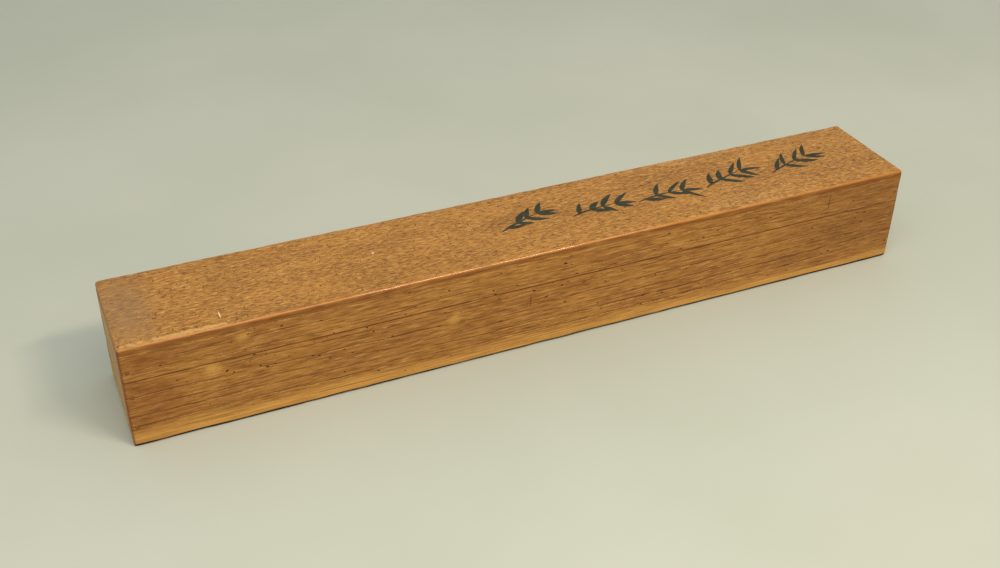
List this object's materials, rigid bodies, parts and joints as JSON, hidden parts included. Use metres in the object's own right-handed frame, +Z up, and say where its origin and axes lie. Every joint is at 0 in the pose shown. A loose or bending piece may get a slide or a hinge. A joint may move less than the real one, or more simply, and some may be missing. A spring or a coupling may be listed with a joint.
{
  "type": "lidded scroll storage box",
  "caption": "Long slender wooden box with a lift-off lid over an inner lip, and notched rests inside for the ends of a rolled scroll.",
  "frame": {"origin": "centre of the footprint, on the surface that the box stands on", "axes": "+X along the box's length, +Y from the front to the back, +Z up, the way the lid lifts"},
  "size_m": [0.545, 0.077, 0.071],
  "materials": {
    "aged_wood": "bare paulownia, darkened and handled, fine open grain",
    "pale_wood": "bare planed paulownia, kept clean inside the box",
    "peg_wood": "bare dense hardwood, end grain flush with the boards",
    "brush_ink": "matt black ink soaked into the grain, for the painted leaf sprays on the lid"
  },
  "bodies": {
    "box_body": {"bottom_board": "aged_wood", "body_front_side": "aged_wood", "body_back_side": "aged_wood", "body_left_end": "aged_wood", "body_right_end": "aged_wood", "lip_front": "pale_wood", "lip_back": "pale_wood", "lip_left": "pale_wood", "lip_right": "pale_wood", "left_roller_rest": "pale_wood", "right_roller_rest": "pale_wood", "body_corner_pegs": "peg_wood", "bottom_pegs": "peg_wood"},
    "lid": {"lid_top_board": "aged_wood", "lid_front_rim": "aged_wood", "lid_back_rim": "aged_wood", "lid_left_rim": "aged_wood", "lid_right_rim": "aged_wood", "lid_corner_pegs": "peg_wood"}
  },
  "joints": [
    {"name": "lid_lift", "type": "slide", "parent": "box_body", "child": "lid", "axis": [0, 0, 1], "range_m": [0, 0.1]}
  ]
}
